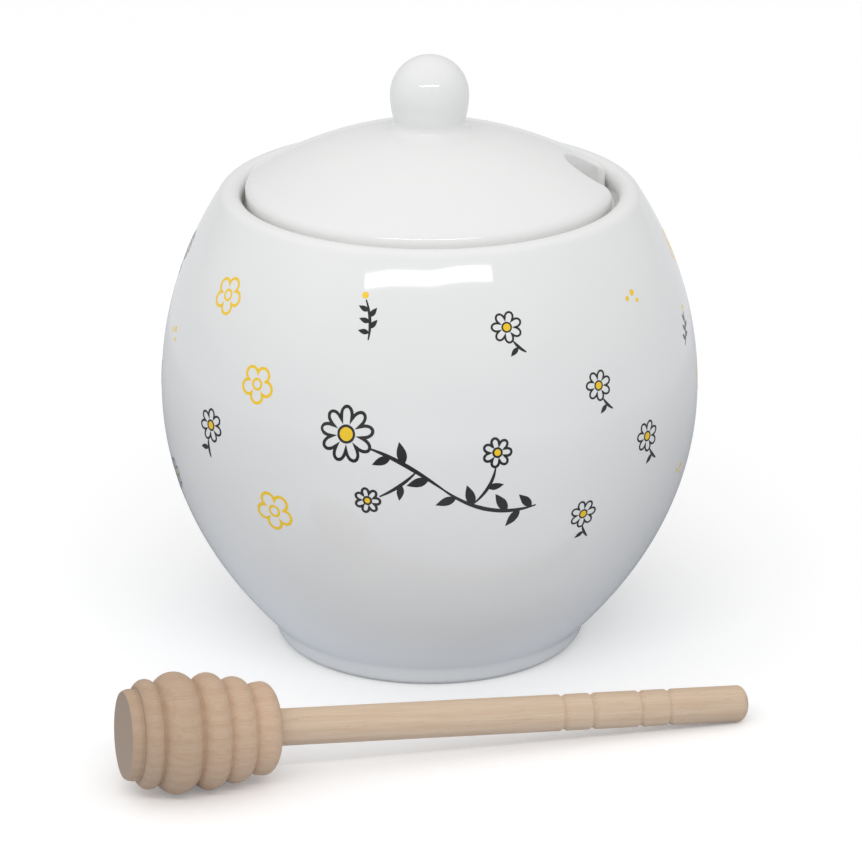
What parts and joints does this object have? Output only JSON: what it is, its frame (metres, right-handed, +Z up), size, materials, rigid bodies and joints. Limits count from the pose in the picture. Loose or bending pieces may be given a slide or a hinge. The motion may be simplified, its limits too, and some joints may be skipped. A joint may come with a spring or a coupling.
{
  "type": "honey dispenser",
  "caption": "Round white glazed porcelain honey pot with a recessed domed lid, ball knob and notched rim, and a turned beech honey dipper that lies beside it.",
  "frame": {"origin": "centre of the pot's foot ring, on the plane of the table", "axes": "+Z up along the pot's axis, -Y towards the front where the dipper lies, +X to the right, where the lid's notch is"},
  "size_m": [0.1374, 0.1622, 0.1366],
  "materials": {
    "porcelain": "clear gloss glaze over a white body",
    "beech": "turned and sanded, no varnish"
  },
  "bodies": {
    "pot": {"pot": "porcelain"},
    "lid": {"lid": "porcelain"},
    "dipper": {"dipper_head": "beech", "dipper_handle": "beech"}
  },
  "joints": [
    {"name": "lid_lift", "type": "slide", "parent": "pot", "child": "lid", "axis": [0, 0, 1], "range_m": [0, 0.08]},
    {"name": "dipper_lift", "type": "slide", "parent": "pot", "child": "dipper", "axis": [0, 0, 1], "range_m": [0, 0.15]}
  ]
}
